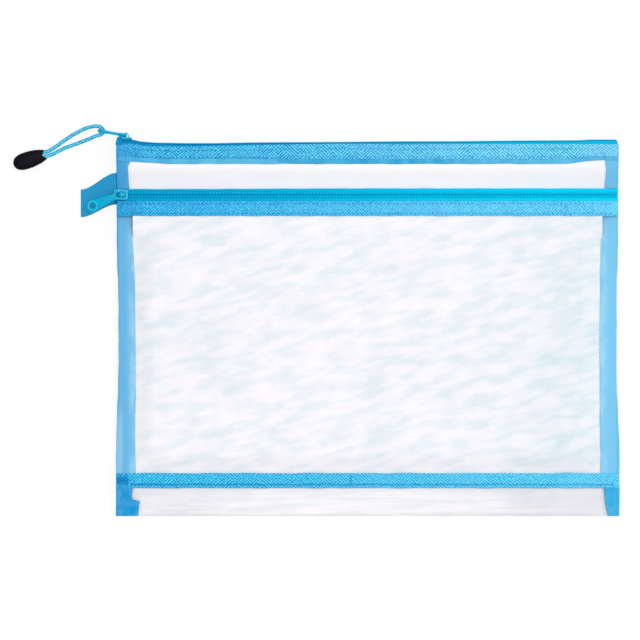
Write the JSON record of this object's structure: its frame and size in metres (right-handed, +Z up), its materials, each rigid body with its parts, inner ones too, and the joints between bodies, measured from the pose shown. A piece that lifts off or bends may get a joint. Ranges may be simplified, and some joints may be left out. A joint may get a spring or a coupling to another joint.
{
  "type": "zipper document bag",
  "caption": "Flat white mesh document bag with blue woven bindings, a zip along the top edge, a zipped front pocket, a side webbing loop and a corded slider pull.",
  "frame": {"origin": "centre of the back panel's resting face, on the table that the bag lies on", "axes": "+X along the zips to the right, +Y toward the top zip, +Z up from the table, out of the front pocket"},
  "size_m": [0.4111, 0.2657, 0.0143],
  "materials": {
    "mesh": "fine white nylon mesh, semi-translucent",
    "binding_blue": "woven satin and twill binding",
    "zip_tape": "woven zip tape",
    "zip_coil": "nylon coil",
    "slider_enamel": "glossy enamel",
    "webbing": "ribbed webbing",
    "cord": "braided cord",
    "cord_end_black": "semi-gloss moulded plastic"
  },
  "bodies": {
    "bag": {"back_panel": "mesh", "middle_panel": "mesh", "pocket_panel": "mesh", "left_side_binding": "binding_blue", "right_side_binding": "binding_blue", "top_back_binding": "binding_blue", "top_front_binding": "binding_blue", "front_zip_binding": "binding_blue", "bottom_seam_binding": "binding_blue", "top_zip_back_tape": "zip_tape", "top_zip_front_tape": "zip_tape", "front_zip_lower_tape": "zip_tape", "front_zip_upper_tape": "zip_tape", "top_zip_back_coil": "zip_coil", "top_zip_front_coil": "zip_coil", "front_zip_lower_coil": "zip_coil", "front_zip_upper_coil": "zip_coil", "side_loop": "webbing"},
    "top_slider": {"top_slider_body": "slider_enamel"},
    "top_pull": {"top_slider_pull": "slider_enamel"},
    "cord": {"pull_cord": "cord", "cord_end": "cord_end_black"},
    "front_slider": {"front_slider_body": "slider_enamel"},
    "front_pull": {"front_slider_pull": "slider_enamel"}
  },
  "joints": [
    {"name": "top_slider_travel", "type": "slide", "parent": "bag", "child": "top_slider", "axis": [1, 0, 0], "range_m": [0, 0.32], "deforming": ["top_zip_back_coil", "top_zip_front_coil"]},
    {"name": "top_pull_swing", "type": "hinge", "parent": "top_slider", "child": "top_pull", "pos_m": [-0.1639, 0.1309, 0.00615], "axis": [0, 0, 1], "range_deg": [-165, 10]},
    {"name": "cord_lift", "type": "hinge", "parent": "top_pull", "child": "cord", "pos_m": [-0.17916, 0.13359, 0.00615], "axis": [-0.363, 0.9318, 0], "range_deg": [0, 111], "deforming": ["pull_cord"]},
    {"name": "front_slider_travel", "type": "slide", "parent": "bag", "child": "front_slider", "axis": [1, 0, 0], "range_m": [0, 0.32], "deforming": ["front_zip_lower_coil", "front_zip_upper_coil"]},
    {"name": "front_pull_swing", "type": "hinge", "parent": "front_slider", "child": "front_pull", "pos_m": [-0.1664, 0.0906, 0.0122], "axis": [0, 1, 0], "range_deg": [0, 180]}
  ],
  "couplings": [
    {"joint": "cord_lift", "follows": "top_slider_travel", "rad_per_m": 6}
  ]
}
